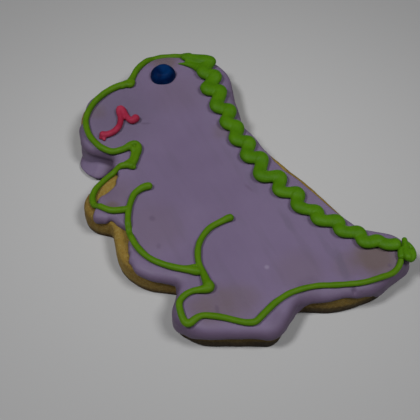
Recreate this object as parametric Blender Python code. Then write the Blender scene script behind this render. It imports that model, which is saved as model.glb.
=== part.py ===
"""Iced sugar cookie, cut in the shape of a sitting dinosaur seen from the side.

Units are metres and +Z is up. The cookie lies on z = 0 with its head towards +Y, its tail towards +X, and
the middle of its box at x = 0, y = 0. The dimensions below are in millimetres, and MM turns them into metres.
"""
import math

import bmesh
import bpy
from mathutils import Vector
from mathutils.bvhtree import BVHTree

MM = 0.001
GAP = 0.3                # clearance between touching solids

# ---------------------------------------------------------------- dough
DOUGH_HEIGHT = 7.5
TOP_ROUND = 1.5          # rounding of the baked top edge
FOOT_ROUND = 0.6         # small bevel where the wall meets the tray
ROUND_LENGTH = TOP_ROUND * math.pi / 2

# The cutter is a bent strip: a corner and its bend radius, clockwise from the dent above the snout.
CUTTER = [
    ("brow", -33.4, 39.2, 2.2),
    ("forehead", -32.2, 52.0, 12.0),
    ("crown", -3.0, 50.4, 14.0),
    ("nape", 2.3, 20.8, 4.0),
    ("waist", 10.2, 9.7, 12.0),
    ("back", 21.2, -2.6, 40.0),
    ("rump", 33.8, -19.3, 7.0),
    ("tail_top", 44.0, -22.2, 6.0),
    ("tail_tip", 47.4, -28.4, 5.0),
    ("tail_end", 37.4, -38.1, 11.0),
    ("tail_under", 26.5, -42.5, 20.0),
    ("crook", 14.7, -42.0, 4.0),
    ("heel", 9.2, -52.3, 4.4),
    ("sole", -10.8, -52.4, 10.0),
    ("toe", -17.6, -47.7, 5.0),
    ("ankle", -15.0, -36.8, 2.2),
    ("belly", -32.0, -34.0, 14.0),
    ("elbow", -35.8, -17.0, 1.8),
    ("palm", -44.1, -14.4, 6.4),
    ("hand", -44.5, -6.7, 8.0),
    ("armpit", -36.3, 3.0, 5.0),
    ("throat", -36.3, 8.1, 2.0),
    ("chin", -46.2, 11.0, 6.0),
    ("snout", -49.2, 30.6, 14.0),
]
FINE_STEP = 0.15         # spacing of the points that the outline is first read at
WALL_STEP = 3.0          # most distance between two points that are kept
BEND_STEP = math.radians(18)

# ---------------------------------------------------------------- icing
ICING_TOP = 2.0          # height of the flooded icing over the dough
ICING_WALL = 1.0         # thickness where it has run down the wall
BEAD = 1.6               # width of the rounded edge of the icing
RING_STEP = 0.3          # least distance between two rings of the mesh
RUN_STEP = 0.7           # most change in the icing's run between two points of the outline

# How far the icing has run over the top edge, measured down the dough from the start of its rounding.
# Below zero it stops short on the top, and at 8 it has reached the tray.
RUN = [
    ("brow", -33.4, 39.2, 2.0),
    ("crown", -8.0, 51.6, 2.4),
    ("neck", 0.0, 30.6, 1.4),
    ("nape", 2.0, 20.6, 1.2),
    ("waist", 9.6, 8.4, 0.6),
    ("back", 12.9, 5.6, -0.4),
    ("saddle", 15.9, 2.4, -0.6),
    ("loin", 19.4, -1.9, -0.5),
    ("hip", 23.2, -6.4, -0.35),
    ("hip_low", 28.0, -12.5, 0.0),
    ("rump", 33.0, -18.9, 1.2),
    ("tail_top", 43.5, -22.4, 2.2),
    ("tail_tip", 46.2, -28.0, 7.6),
    ("tail_end", 41.0, -34.8, 6.6),
    ("tail_side", 37.4, -38.5, 7.2),
    ("tail_turn", 35.4, -39.3, 4.2),
    ("tail_mid", 32.6, -40.6, 2.9),
    ("tail_under", 27.0, -42.2, 1.5),
    ("tail_start", 19.6, -42.0, 2.8),
    ("crook", 14.6, -42.4, 6.6),
    ("heel_back", 11.2, -48.2, 5.4),
    ("heel", 9.4, -51.2, 4.4),
    ("sole_back", 4.0, -52.3, 3.6),
    ("sole_front", -9.0, -52.4, 3.7),
    ("toe_under", -13.6, -50.6, 5.4),
    ("toe", -16.4, -47.8, 7.2),
    ("ankle", -15.2, -38.4, 7.7),
    ("belly_front", -17.4, -36.4, 2.9),
    ("belly", -27.0, -33.4, 1.9),
    ("belly_low", -30.0, -31.2, 0.7),
    ("belly_side", -31.5, -28.9, -1.0),
    ("flank_low", -33.2, -26.0, -1.9),
    ("flank", -34.4, -22.4, -2.9),
    ("elbow", -35.8, -17.0, 0.7),
    ("wrist", -37.6, -16.4, 2.0),
    ("palm", -40.2, -15.7, 2.4),
    ("palm_side", -43.2, -13.8, -2.0),
    ("hand", -44.4, -10.4, -2.3),
    ("hand_top", -43.8, -6.0, -2.7),
    ("fist", -42.0, -3.6, -3.0),
    ("arm", -39.8, -0.4, -3.0),
    ("arm_top", -38.4, 1.6, -1.6),
    ("armpit", -36.6, 3.6, 1.8),
    ("throat", -36.4, 6.8, 7.2),
    ("chin", -42.0, 9.2, 8.0),
    ("jaw", -47.0, 16.6, 7.9),
    ("cheek", -48.2, 18.8, 4.4),
    ("snout", -48.6, 21.6, 0.6),
    ("muzzle", -48.8, 25.0, 0.6),
    ("nose", -44.8, 31.6, 1.6),
]
PUDDLE = (-43.0, 9.2)    # the icing has pooled at the foot of the chin
PUDDLE_SPREAD = 8.5
PUDDLE_BULGE = 2.3
PUDDLE_RISE = 3.0        # the bulge grows over this height of wall

# ---------------------------------------------------------------- piped lines
HEAD_WIDTH = 2.1
LINE_WIDTH = 1.85
MOUTH_WIDTH = 2.0
LINE_HEIGHT = 1.6
LINE_STEP = 1.7
LINE_SIDES = 6
LINE_END = 0.55          # size of the last section of a line, against the rest
HEAD_LINE = [(-18.2, 51.4), (-20.6, 52.2), (-26.9, 50.7), (-31.3, 45.5), (-33.3, 40.2), (-35.5, 37.1),
             (-40.3, 34.0), (-44.6, 28.2), (-46.4, 21.4), (-44.9, 14.9), (-41.7, 10.0), (-39.4, 8.9),
             (-37.2, 8.3), (-35.2, 8.4), (-33.3, 9.2), (-31.8, 10.5), (-30.2, 10.4)]
ARM_LINE = [(-29.5, 7.7), (-30.3, 4.4), (-32.6, 2.5), (-34.9, 2.1), (-38.7, -0.9), (-41.5, -5.6),
            (-42.0, -8.2), (-40.1, -12.2), (-36.1, -14.4), (-33.0, -14.4)]
BELLY_LINE = [(-25.0, -5.6), (-27.0, -6.1), (-28.7, -7.3), (-30.0, -9.2), (-31.0, -14.4), (-30.6, -20.7),
              (-28.4, -26.3), (-24.4, -30.8), (-19.0, -33.4), (-13.6, -34.7), (-11.8, -35.1)]
LEG_LINE = [(-2.2, -17.2), (-3.7, -17.8), (-8.2, -20.9), (-10.9, -25.8), (-11.2, -31.3), (-9.6, -36.4),
            (-8.9, -38.4)]
FOOT_LINE = [(-8.2, -40.9), (-12.6, -41.3), (-15.6, -43.7), (-16.0, -45.5), (-14.6, -49.8), (-12.1, -49.9),
             (-9.3, -48.6), (-4.9, -49.2), (1.8, -50.7), (3.9, -50.3), (9.5, -44.4), (13.9, -41.4),
             (19.8, -39.7), (26.6, -39.3), (33.3, -38.3), (39.7, -35.7), (42.9, -32.8)]
MOUTH_LINE = [(-41.2, 14.5), (-39.4, 14.7), (-37.8, 15.5), (-35.7, 19.3), (-36.2, 24.2), (-35.8, 25.5),
              (-34.2, 23.1), (-32.1, 20.5), (-30.4, 21.5)]

# ---------------------------------------------------------------- ridge piped down the back in a zigzag
SPINE = [(-15.6, 49.6), (-12.0, 48.2), (-9.2, 46.6), (-8.2, 41.0), (-6.9, 35.0), (-4.4, 26.0), (-1.0, 17.0),
         (3.0, 8.2), (9.0, -1.6), (14.6, -8.4), (22.0, -16.4), (30.4, -22.0), (36.2, -25.1), (41.6, -26.6)]
# The line itself: the crown's stroke, then every place where it turns.
RIDGE_TURNS = [
    (-15.2, 49.5), (-11.6, 48.0), (-8.2, 47.4), (-10.1, 42.1), (-6.5, 40.0), (-8.8, 34.4), (-4.8, 33.2),
    (-5.9, 26.6), (-2.0, 24.7), (-2.9, 19.4), (0.2, 17.5), (-0.1, 12.4), (3.5, 10.9), (3.2, 5.7), (7.2, 4.5),
    (6.8, -1.8), (12.2, -2.5), (12.0, -7.6), (16.9, -8.7), (17.0, -13.3), (21.8, -15.2), (22.4, -18.1),
    (27.3, -18.8), (28.3, -22.0), (32.8, -22.7), (34.2, -25.8), (37.9, -25.4), (40.2, -26.6), (41.0, -26.8),
]
RIDGE_LINE = 4.3         # width of the piped line at the head
RIDGE_TAPER = 0.2        # how much of that is lost by the tail
RIDGE_HEIGHT = 2.5
RIDGE_REACH = 4.0        # how far from the spine the strip lies at most
RIDGE_LEAST = 0.1        # keeps the strip from thinning out to nothing between two turns
RIDGE_STEP = 1.3
RIDGE_ACROSS = 7

# ---------------------------------------------------------------- dabs
EYE_PLACE = (-23.25, 41.35)
EYE_RADIUS = 4.0
EYE_HEIGHT = 3.1
TAIL_BLOB_PLACE = (45.3, -28.6)
TAIL_BLOB_RADIUS = 2.8
TAIL_BLOB_HEIGHT = 3.4


def clear_scene():
    for thing in list(bpy.data.objects):
        bpy.data.objects.remove(thing, do_unlink=True)


def make_material(name, colour, roughness):
    material = bpy.data.materials.new(name)
    material.use_nodes = True
    shader = material.node_tree.nodes["Principled BSDF"]
    shader.inputs["Base Color"].default_value = (*colour, 1.0)
    shader.inputs["Roughness"].default_value = roughness
    shader.inputs["Metallic"].default_value = 0.0
    return material


def add_object(name, mesh_data, material):
    """Turns a bmesh in millimetres into a smooth-shaded object in metres."""
    bmesh.ops.recalc_face_normals(mesh_data, faces=mesh_data.faces)
    bmesh.ops.scale(mesh_data, vec=(MM, MM, MM), verts=mesh_data.verts)
    mesh = bpy.data.meshes.new(name)
    mesh_data.to_mesh(mesh)
    mesh_data.free()
    mesh.materials.append(material)
    mesh.shade_smooth()
    mesh.set_sharp_from_angle(angle=math.radians(40))
    thing = bpy.data.objects.new(name, mesh)
    bpy.context.scene.collection.objects.link(thing)
    return thing


def loft(rings):
    """Skins closed rings that have the same number of points, and caps both ends."""
    mesh_data = bmesh.new()
    rows = [[mesh_data.verts.new(point) for point in ring] for ring in rings]
    count = len(rings[0])
    for lower, upper in zip(rows, rows[1:]):
        for i in range(count):
            j = (i + 1) % count
            mesh_data.faces.new((lower[i], lower[j], upper[j], upper[i]))
    mesh_data.faces.new(list(reversed(rows[0])))
    mesh_data.faces.new(rows[-1])
    return mesh_data


def cutter_outline():
    """Points round the cutter with their outward normals: straight stretches joined by round bends."""
    places = [Vector(corner[1:3]) for corner in CUTTER]
    count = len(places)
    bends = []
    for i, corner in enumerate(CUTTER):
        here = places[i]
        back = (places[i - 1] - here).normalized()
        ahead = (places[(i + 1) % count] - here).normalized()
        half = back.angle(ahead) / 2
        centre = here + (back + ahead).normalized() * (corner[3] / math.sin(half))
        cut = corner[3] / math.tan(half)
        start = here + back * cut - centre
        turn = start.angle_signed(here + ahead * cut - centre)
        bends.append((centre, start, -turn))
    samples = []
    for i, (centre, start, turn) in enumerate(bends):
        steps = math.ceil(abs(turn) * start.length / FINE_STEP)
        outward = 1 if turn < 0 else -1
        for k in range(steps + 1):
            angle = turn * k / steps
            arm = Vector((start.x * math.cos(angle) - start.y * math.sin(angle),
                          start.x * math.sin(angle) + start.y * math.cos(angle)))
            samples.append((centre + arm, arm.normalized() * outward))
        last, normal = samples[-1]
        next_centre, next_start, _ = bends[(i + 1) % count]
        straight = next_centre + next_start - last
        pieces = int(straight.length / FINE_STEP)
        for k in range(1, pieces):
            samples.append((last + straight * (k / pieces), normal))
    return samples


def lengths_round(samples):
    total = 0.0
    lengths = []
    for i, (point, _) in enumerate(samples):
        lengths.append(total)
        total += (samples[(i + 1) % len(samples)][0] - point).length
    return lengths, total


def runs_round(samples):
    """The icing's run at every point of the outline, eased between the named places."""
    lengths, total = lengths_round(samples)
    stops = []
    for _, x, y, run in RUN:
        nearest = min(range(len(samples)), key=lambda i: (samples[i][0] - Vector((x, y))).length)
        stops.append((lengths[nearest], run))
    stops.sort()
    stops = [(stops[-1][0] - total, stops[-1][1])] + stops + [(stops[0][0] + total, stops[0][1])]
    runs = []
    for length in lengths:
        for (a, run_a), (b, run_b) in zip(stops, stops[1:]):
            if a <= length <= b:
                t = (length - a) / max(b - a, 1e-6)
                t = t * t * (3 - 2 * t)
                runs.append(run_a + (run_b - run_a) * t)
                break
    return runs


def keep_needed(samples, runs):
    """Thins the outline out to the points that its bends and the icing's edge need."""
    kept = [(samples[0], runs[0])]
    for (point, normal), run in zip(samples, runs):
        (last_point, last_normal), last_run = kept[-1]
        far = (point - last_point).length > WALL_STEP
        turned = normal.angle(last_normal) > BEND_STEP
        if far or turned or abs(run - last_run) > RUN_STEP:
            kept.append(((point, normal), run))
    return [sample for sample, _ in kept], [run for _, run in kept]


def on_dough(point, normal, run, lift):
    """A point over the dough: run is its distance down the skin from the start of the top rounding."""
    if run < 0:
        sideways, height, lean = run - TOP_ROUND, DOUGH_HEIGHT, 0.0
    elif run < ROUND_LENGTH:
        lean = run / TOP_ROUND
        sideways = TOP_ROUND * (math.sin(lean) - 1)
        height = DOUGH_HEIGHT + TOP_ROUND * (math.cos(lean) - 1)
    else:
        sideways, height, lean = 0.0, DOUGH_HEIGHT - TOP_ROUND - (run - ROUND_LENGTH), math.pi / 2
    place = point + normal * (sideways + lift * math.sin(lean))
    return Vector((place.x, place.y, height + lift * math.cos(lean)))


def make_biscuit(samples, material):
    rings = [
        [(*(point - normal * FOOT_ROUND), 0.0) for point, normal in samples],
        [(*point, FOOT_ROUND) for point, _ in samples],
    ]
    for run in (ROUND_LENGTH, ROUND_LENGTH * 2 / 3, ROUND_LENGTH / 3, 0.0):
        rings.append([on_dough(point, normal, run, 0.0) for point, normal in samples])
    return add_object("biscuit", loft(rings), material)


def icing_depth(point, run):
    """Thickness of the icing: deep on the top, thin down the wall, and swollen where it has pooled."""
    share = min(max(run / ROUND_LENGTH, 0.0), 1.0)
    depth = ICING_TOP + (ICING_WALL - ICING_TOP) * share
    near = max(0.0, 1 - (point - Vector(PUDDLE)).length / PUDDLE_SPREAD)
    low = min(max((run - ROUND_LENGTH) / PUDDLE_RISE, 0.0), 1.0)
    return depth + PUDDLE_BULGE * low * near


def make_icing(samples, runs, material):
    """A sheet over the dough: its underside, a round bead along its edge, then the outside up to the top."""
    places = [(*sample, run) for sample, run in zip(samples, runs)]
    rings = []
    for steps, limit in ((3, 0.0), (2, ROUND_LENGTH / 2), (1, ROUND_LENGTH), (0, math.inf)):
        back = RING_STEP * steps
        rings.append([on_dough(point, normal, min(limit, run - back), GAP) for point, normal, run in places])
    for angle in (math.radians(30), math.radians(60), math.radians(90)):
        ring = []
        for point, normal, run in places:
            where = run - BEAD * (1 - math.cos(angle))
            lift = GAP + (icing_depth(point, where) - GAP) * math.sin(angle)
            ring.append(on_dough(point, normal, where, lift))
        rings.append(ring)
    for steps, limit in ((1, ROUND_LENGTH), (2, ROUND_LENGTH / 2), (3, 0.0)):
        ring = []
        for point, normal, run in places:
            where = min(limit, run - BEAD - RING_STEP * steps)
            ring.append(on_dough(point, normal, where, icing_depth(point, where)))
        rings.append(ring)
    return add_object("icing", loft(rings), material)


def smooth_path(points, step):
    """Evenly spaced points along a smooth curve through the given ones."""
    points = [Vector(point) for point in points]
    points = [points[0] * 2 - points[1]] + points + [points[-1] * 2 - points[-2]]
    fine = []
    for a, b, c, d in zip(points, points[1:], points[2:], points[3:]):
        for k in range(12):
            t = k / 12
            fine.append(0.5 * (2 * b + (c - a) * t + (2 * a - 5 * b + 4 * c - d) * t ** 2
                               + (3 * b - a - 3 * c + d) * t ** 3))
    fine.append(points[-2])
    return even_steps(fine, step)


def even_steps(fine, step):
    total = sum((b - a).length for a, b in zip(fine, fine[1:]))
    count = max(2, round(total / step))
    wanted = total / count
    path = [fine[0].copy()]
    travelled = 0.0
    for a, b in zip(fine, fine[1:]):
        span = (b - a).length
        while len(path) < count and travelled + span >= wanted * len(path):
            path.append(a.lerp(b, (wanted * len(path) - travelled) / span))
        travelled += span
    path.append(fine[-1].copy())
    return path


def sides_along(path):
    """The direction to the left of the path at each of its points."""
    sides = []
    for i in range(len(path)):
        ahead = path[min(i + 1, len(path) - 1)] - path[max(i - 1, 0)]
        sides.append(Vector((-ahead.y, ahead.x)).normalized())
    return sides


def surface_under(*things):
    """A function that gives the height in mm of the things' top skin over a place."""
    trees = []
    for thing in things:
        mesh = thing.data
        corners = [vertex.co / MM for vertex in mesh.vertices]
        trees.append(BVHTree.FromPolygons(corners, [face.vertices for face in mesh.polygons]))

    def height(place):
        best = None
        for tree in trees:
            hit = tree.ray_cast(Vector((place.x, place.y, 50.0)), Vector((0, 0, -1)))[0]
            if hit is not None and (best is None or hit.z > best):
                best = hit.z
        return best

    return height


def seat(path, sides, reach, height_at):
    """Heights that clear the skin below a strip of the given half width, eased along its length."""
    raw = []
    for place, side in zip(path, sides):
        found = [height_at(place + side * (reach * share)) for share in (-1.0, -0.5, 0.0, 0.5, 1.0)]
        raw.append(max(z for z in found if z is not None) + GAP)
    high = [max(raw[max(i - 1, 0):i + 2]) for i in range(len(raw))]
    eased = [sum(high[max(i - 1, 0):i + 2]) / len(high[max(i - 1, 0):i + 2]) for i in range(len(high))]
    return [max(value, least) for value, least in zip(eased, raw)]


def make_line(name, points, width, height, height_at, material):
    """A piped line: a low arch swept along a smooth path, with round ends."""
    path = smooth_path(points, LINE_STEP)
    sides = sides_along(path)
    floors = seat(path, sides, width / 2, height_at)
    rings = []
    for i, (place, side, floor) in enumerate(zip(path, sides, floors)):
        size = LINE_END if i in (0, len(path) - 1) else 1.0
        ring = []
        for k in range(LINE_SIDES):
            angle = math.pi * k / (LINE_SIDES - 1)
            across = place + side * (width / 2 * size * math.cos(angle))
            ring.append(Vector((across.x, across.y, floor + height * size * math.sin(angle))))
        rings.append(ring)
    return add_object(name, loft(rings), material)


def make_ridge(height_at, material):
    """The zigzag as one strip: its edges and its height follow the distance to the swinging line."""
    path = smooth_path(SPINE, RIDGE_STEP)
    sides = sides_along(path)
    line = smooth_path(RIDGE_TURNS, RIDGE_STEP / 2)
    floors = seat(path, sides, RIDGE_REACH, height_at)
    rings = []
    for i, (place, side, floor) in enumerate(zip(path, sides, floors)):
        half = RIDGE_LINE / 2 * (1 - RIDGE_TAPER * i / len(path)) * min(1.0, 0.6 + 0.1 * i)
        ahead = Vector((side.y, -side.x))
        low, high = 0.0, 0.0
        for point in line:
            along = (point - place).dot(ahead)
            middle = (point - place).dot(side)
            if abs(along) < half and abs(middle) < RIDGE_REACH:
                spread = math.sqrt(half * half - along * along)
                low = min(low, middle - spread)
                high = max(high, middle + spread)
        ring = []
        for k in range(RIDGE_ACROSS):
            across = low + (high - low) * k / (RIDGE_ACROSS - 1)
            spot = place + side * across
            near = min((point - spot).length for point in line)
            rise = RIDGE_HEIGHT * math.sqrt(max(RIDGE_LEAST, 1 - (near / half) ** 2))
            if k in (0, RIDGE_ACROSS - 1):
                rise = 0.0
            ring.append(Vector((spot.x, spot.y, floor + rise)))
        rings.append(ring)
    return add_object("back_ridge", loft(rings), material)


def make_dab(name, place, radius, height, height_at, material, sides=16, levels=4):
    """A dab of icing that has settled into a low dome with a round foot."""
    centre = Vector(place)
    spots = [centre]
    for k in range(sides):
        angle = 2 * math.pi * k / sides
        spots.append(centre + Vector((math.cos(angle), math.sin(angle))) * radius)
    floor = max(z for z in map(height_at, spots) if z is not None) + GAP
    rings = []
    for level in range(levels + 1):
        lean = (math.pi / 2) * level / (levels + 0.5)
        ring = []
        for k in range(sides):
            angle = 2 * math.pi * k / sides
            spot = centre + Vector((math.cos(angle), math.sin(angle))) * (radius * math.cos(lean))
            ring.append(Vector((spot.x, spot.y, floor + height * math.sin(lean))))
        rings.append(ring)
    return add_object(name, loft(rings), material)


def build():
    clear_scene()
    dough = make_material("dough", (0.42, 0.27, 0.09), 0.85)
    lilac = make_material("lilac_icing", (0.32, 0.24, 0.41), 0.5)
    green = make_material("green_icing", (0.12, 0.43, 0.02), 0.45)
    blue = make_material("blue_icing", (0.005, 0.05, 0.25), 0.4)
    pink = make_material("pink_icing", (0.75, 0.06, 0.16), 0.45)
    fine_outline = cutter_outline()
    samples, runs = keep_needed(fine_outline, runs_round(fine_outline))
    biscuit = make_biscuit(samples, dough)
    icing = make_icing(samples, runs, lilac)
    height_at = surface_under(biscuit, icing)
    make_line("head_line", HEAD_LINE, HEAD_WIDTH, LINE_HEIGHT, height_at, green)
    make_line("arm_line", ARM_LINE, LINE_WIDTH, LINE_HEIGHT, height_at, green)
    make_line("belly_line", BELLY_LINE, LINE_WIDTH, LINE_HEIGHT, height_at, green)
    make_line("leg_line", LEG_LINE, LINE_WIDTH, LINE_HEIGHT, height_at, green)
    make_line("foot_line", FOOT_LINE, LINE_WIDTH, LINE_HEIGHT, height_at, green)
    make_line("mouth_line", MOUTH_LINE, MOUTH_WIDTH, LINE_HEIGHT, height_at, pink)
    make_ridge(height_at, green)
    make_dab("eye", EYE_PLACE, EYE_RADIUS, EYE_HEIGHT, height_at, blue)
    make_dab("tail_blob", TAIL_BLOB_PLACE, TAIL_BLOB_RADIUS, TAIL_BLOB_HEIGHT, height_at, green, 12, 3)


build()
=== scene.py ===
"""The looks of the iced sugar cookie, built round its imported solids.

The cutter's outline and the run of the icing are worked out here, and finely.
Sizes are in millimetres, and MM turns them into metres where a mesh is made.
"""

import math

import bpy
import numpy as np
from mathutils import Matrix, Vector, noise
from mathutils.bvhtree import BVHTree
from mathutils.geometry import delaunay_2d_cdt


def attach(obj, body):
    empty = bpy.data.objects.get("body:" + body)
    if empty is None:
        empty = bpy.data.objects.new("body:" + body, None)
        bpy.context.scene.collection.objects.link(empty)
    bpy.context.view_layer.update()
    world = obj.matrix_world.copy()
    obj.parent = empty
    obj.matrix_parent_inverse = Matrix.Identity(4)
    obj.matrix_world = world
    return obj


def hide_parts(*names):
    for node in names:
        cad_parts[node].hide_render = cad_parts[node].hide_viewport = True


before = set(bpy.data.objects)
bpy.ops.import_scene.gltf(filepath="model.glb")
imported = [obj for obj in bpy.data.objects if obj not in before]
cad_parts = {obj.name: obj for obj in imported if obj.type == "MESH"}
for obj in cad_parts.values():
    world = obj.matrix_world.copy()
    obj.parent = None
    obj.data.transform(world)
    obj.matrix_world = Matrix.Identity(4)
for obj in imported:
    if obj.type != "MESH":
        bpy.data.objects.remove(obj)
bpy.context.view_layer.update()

MM = 0.001

# -------- dough
DOUGH_HEIGHT = 7.5
TOP_ROUND = 1.5
FOOT_ROUND = 0.6
FOOT_INSET = 1.4         # how far in the flat underside ends, against the foot's rounding
ROUND_LENGTH = TOP_ROUND * math.pi / 2
WALL_SWELL = 0.18        # how far the wall swells out at half its height
OUTLINE_STEP = 0.45
FOOT_RINGS = 4
WALL_RINGS = 12
TOP_RINGS = 14
INNER_RING = 2.6         # how far in from the outline the rings stop and the flat filling starts
UNDERSIDE_GRID = 6.0     # spacing of the flat fillings out of sight
DOUGH_GRID = 0.7         # spacing of the filling on top
DOUGH_BORDER = 5.0       # past this distance from the rings only every ninth of its points is kept
DOUGH_SPARSE = 9
# Ripples are layers of smooth noise, each with its strength, its size and an offset into the noise.
EDGE_RIPPLES = [(0.22, 9.0, 3.0), (0.11, 3.2, 7.0)]    # how the baked edge strays from the cutter's line
CRUMB = 0.10             # depth of the crumb's relief, which its ripples and its pits are parts of
CRUMB_RIPPLES = [(0.6, 5.0, 1.0), (0.55, 1.7, 2.0), (0.3, 0.8, 4.0)]
PITS = (1.6, 1.3, 9.0)   # depth, size and offset
PIT_LEVEL = 0.35         # the share of the noise that makes no pit

# The cutter is a bent strip: a corner and its bend radius, clockwise from the dent above the snout.
CUTTER = [
    ("brow", -33.4, 39.2, 2.2),
    ("forehead", -32.2, 52.0, 12.0),
    ("crown", -3.0, 50.4, 14.0),
    ("nape", 2.3, 20.8, 4.0),
    ("waist", 10.2, 9.7, 12.0),
    ("back", 21.2, -2.6, 40.0),
    ("rump", 33.8, -19.3, 7.0),
    ("tail_top", 44.0, -22.2, 6.0),
    ("tail_tip", 47.4, -28.4, 5.0),
    ("tail_end", 37.4, -38.1, 11.0),
    ("tail_under", 26.5, -42.5, 20.0),
    ("crook", 14.7, -42.0, 4.0),
    ("heel", 9.2, -52.3, 4.4),
    ("sole", -10.8, -52.4, 10.0),
    ("toe", -17.6, -47.7, 5.0),
    ("ankle", -15.0, -36.8, 2.2),
    ("belly", -32.0, -34.0, 14.0),
    ("elbow", -35.8, -17.0, 1.8),
    ("palm", -44.1, -14.4, 6.4),
    ("hand", -44.5, -6.7, 8.0),
    ("armpit", -36.3, 3.0, 5.0),
    ("throat", -36.3, 8.1, 2.0),
    ("chin", -46.5, 11.0, 6.0),
    ("snout", -50.2, 31.2, 12.5),
]

# -------- icing
ICING_TOP = 2.0
ICING_WALL = 1.0
TOP = DOUGH_HEIGHT + ICING_TOP
ABOVE = 50.0             # a height well over everything, from which rays are cast down
THINS_BEFORE = 1.0       # it starts to thin this far before the dough's rounding, and ends this far past it
THINS_PAST = 0.4
BEAD = 1.6               # width of the rounded edge of the icing on the wall
BEAD_ON_TOP = 1.2        # the same where it stops on top of the dough
BEAD_TURN = 1.0          # it goes from one to the other between runs of minus this and this
SINK = 0.3               # the icing's underside lies this far inside the dough's uneven skin
UNDER_REACH = 1.2        # how far in from the dough's rounding the rings under and over the icing go
OVER_REACH = 1.0
RINGS_UNDER = 4
RINGS_BEAD = 9
RINGS_OVER = 24
ICING_GRID = 0.8         # spacing of the icing's flat filling
RUN_RIPPLES = [(0.35, 6.0, 11.0)]
TOP_RIPPLES = [(0.11, 16.0, 5.0), (0.05, 6.0, 8.0)]
WALL_RIPPLES = [(0.22, 8.0, 17.0)]
STREAK_RIPPLES = [(0.035, 2.4, 12.0)]
STREAK_LENGTH = 6        # length of a streak against its width
STREAK_LEAN = (0.91, 0.41)    # roughly the cosine and sine of their turn in the relief
RELIEF_END = 1.0         # how far down the rounding the top's relief ends, and over what length it fades
RELIEF_FADE = 2.0
# A long run gathers in a drip: the least run that does, how far behind its end, how wide and how deep.
DRIP_RUN = 3.0
DRIP_BEHIND = 2.0
DRIP_WIDTH = 1.4
DRIP_DEPTH = 0.25
DRIP_RIPPLES = [(0.3, 7.0, 21.0)]

# How far the icing has run over the top edge, measured down the dough from the start of its rounding.
# Below zero it stops short on the top, and with the full run it ends just over the tray.
FULL_RUN = 8.0
RUN = [
    ("brow", -33.4, 39.2, 2.0),
    ("crown", -8.0, 51.6, 2.4),
    ("neck", 0.0, 30.6, 1.4),
    ("nape", 2.0, 20.6, 1.2),
    ("waist", 9.6, 8.4, 0.6),
    ("back", 12.9, 5.6, -0.4),
    ("saddle", 15.9, 2.4, -0.6),
    ("loin", 19.4, -1.9, -0.5),
    ("hip", 23.2, -6.4, -0.35),
    ("hip_low", 28.0, -12.5, 0.0),
    ("rump", 33.0, -18.9, 1.2),
    ("tail_top", 43.5, -22.4, 2.2),
    ("tail_tip", 46.2, -28.0, 6.9),
    ("tail_end", 41.0, -34.8, 6.1),
    ("tail_side", 37.4, -38.5, 6.4),
    ("tail_turn", 35.4, -39.3, 4.2),
    ("tail_mid", 32.6, -40.6, 2.9),
    ("tail_under", 27.0, -42.2, 1.5),
    ("tail_start", 19.6, -42.0, 2.8),
    ("crook", 14.6, -42.4, 6.6),
    ("heel_back", 11.2, -48.2, 5.4),
    ("heel", 9.4, -51.2, 4.4),
    ("sole_back", 4.0, -52.3, 3.6),
    ("sole_front", -9.0, -52.4, 3.7),
    ("toe_under", -13.6, -50.6, 5.4),
    ("toe", -16.4, -47.8, 7.2),
    ("ankle", -15.2, -38.4, 7.7),
    ("belly_front", -17.4, -36.4, 2.9),
    ("belly", -27.0, -33.4, 1.9),
    ("belly_low", -30.0, -31.2, 0.7),
    ("belly_side", -31.5, -28.9, -1.0),
    ("flank_low", -33.2, -26.0, -1.9),
    ("flank", -34.4, -22.4, -2.9),
    ("elbow", -35.8, -17.0, 0.7),
    ("wrist", -37.6, -16.4, 2.0),
    ("palm", -40.2, -15.7, 2.4),
    ("palm_side", -43.2, -13.8, -2.0),
    ("hand", -44.4, -10.4, -2.3),
    ("hand_top", -43.8, -6.0, -2.7),
    ("fist", -42.0, -3.6, -3.0),
    ("arm", -39.8, -0.4, -3.0),
    ("arm_top", -38.4, 1.6, -1.6),
    ("armpit", -36.6, 3.6, 1.8),
    ("throat", -36.4, 6.8, 7.2),
    ("chin", -42.0, 9.2, 8.0),
    ("jaw", -47.0, 16.6, 7.9),
    ("cheek", -48.2, 18.8, 4.4),
    ("snout", -48.8, 21.6, 0.4),
    ("muzzle", -48.8, 25.0, 0.3),
    ("nose", -44.8, 31.6, 1.6),
]
# The pool under the chin: its middle, how far it goes and the width over which it fades out.
PUDDLE = (-43.6, 9.6)
PUDDLE_REACH = 8.0
PUDDLE_FADE = 5.0
PUDDLE_BULGE = 5.0       # how far it spreads over the tray
PUDDLE_TOP = 4.9         # run at which the wall starts to turn into the pool, and how much further it takes
PUDDLE_RISE = 2.4
PUDDLE_SLOPE = 0.4       # how much lower the pool's top lies for every millimetre towards the snout
# Above the pool the icing has run thin on the wall: place, radius, how much, and between which runs.
THROAT = (-42.0, 8.8)
THROAT_RADIUS = 6.5
THINNING = 0.62
THINNING_START = 0.7
THINNING_END = 2.9
# Where the icing thins towards the edge and the shoulder is broad: x, y, radius and how much.
SLUMPS = [
    ("nape", 0.5, 33.0, 9.0, 0.5),
]
SLUMP_WIDTH = 4.0
# Where the wall's icing is thicker or thinner: x, y, radius and how much.
WALL_CHANGES = [
    ("snout", -49.0, 18.5, 4.5, -0.35),
]

# Where the icing lies lower than the rest: x, y, radius and depth.
DIPS = [
    ("arm", -38.0, -5.5, 5.0, 0.75),
    ("hand", -41.5, -12.0, 3.0, 0.35),
    ("brow_dent", -33.6, 31.6, 1.6, 0.16),
    ("tail_patch", 36.7, -31.0, 4.5, 0.2),
    ("toe_patch", -10.6, -46.0, 4.0, 0.15),
    ("beside_mouth", -28.6, 20.2, 1.0, 0.18),
    ("line_nick", 30.0, -40.0, 0.45, 0.9),
]

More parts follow.
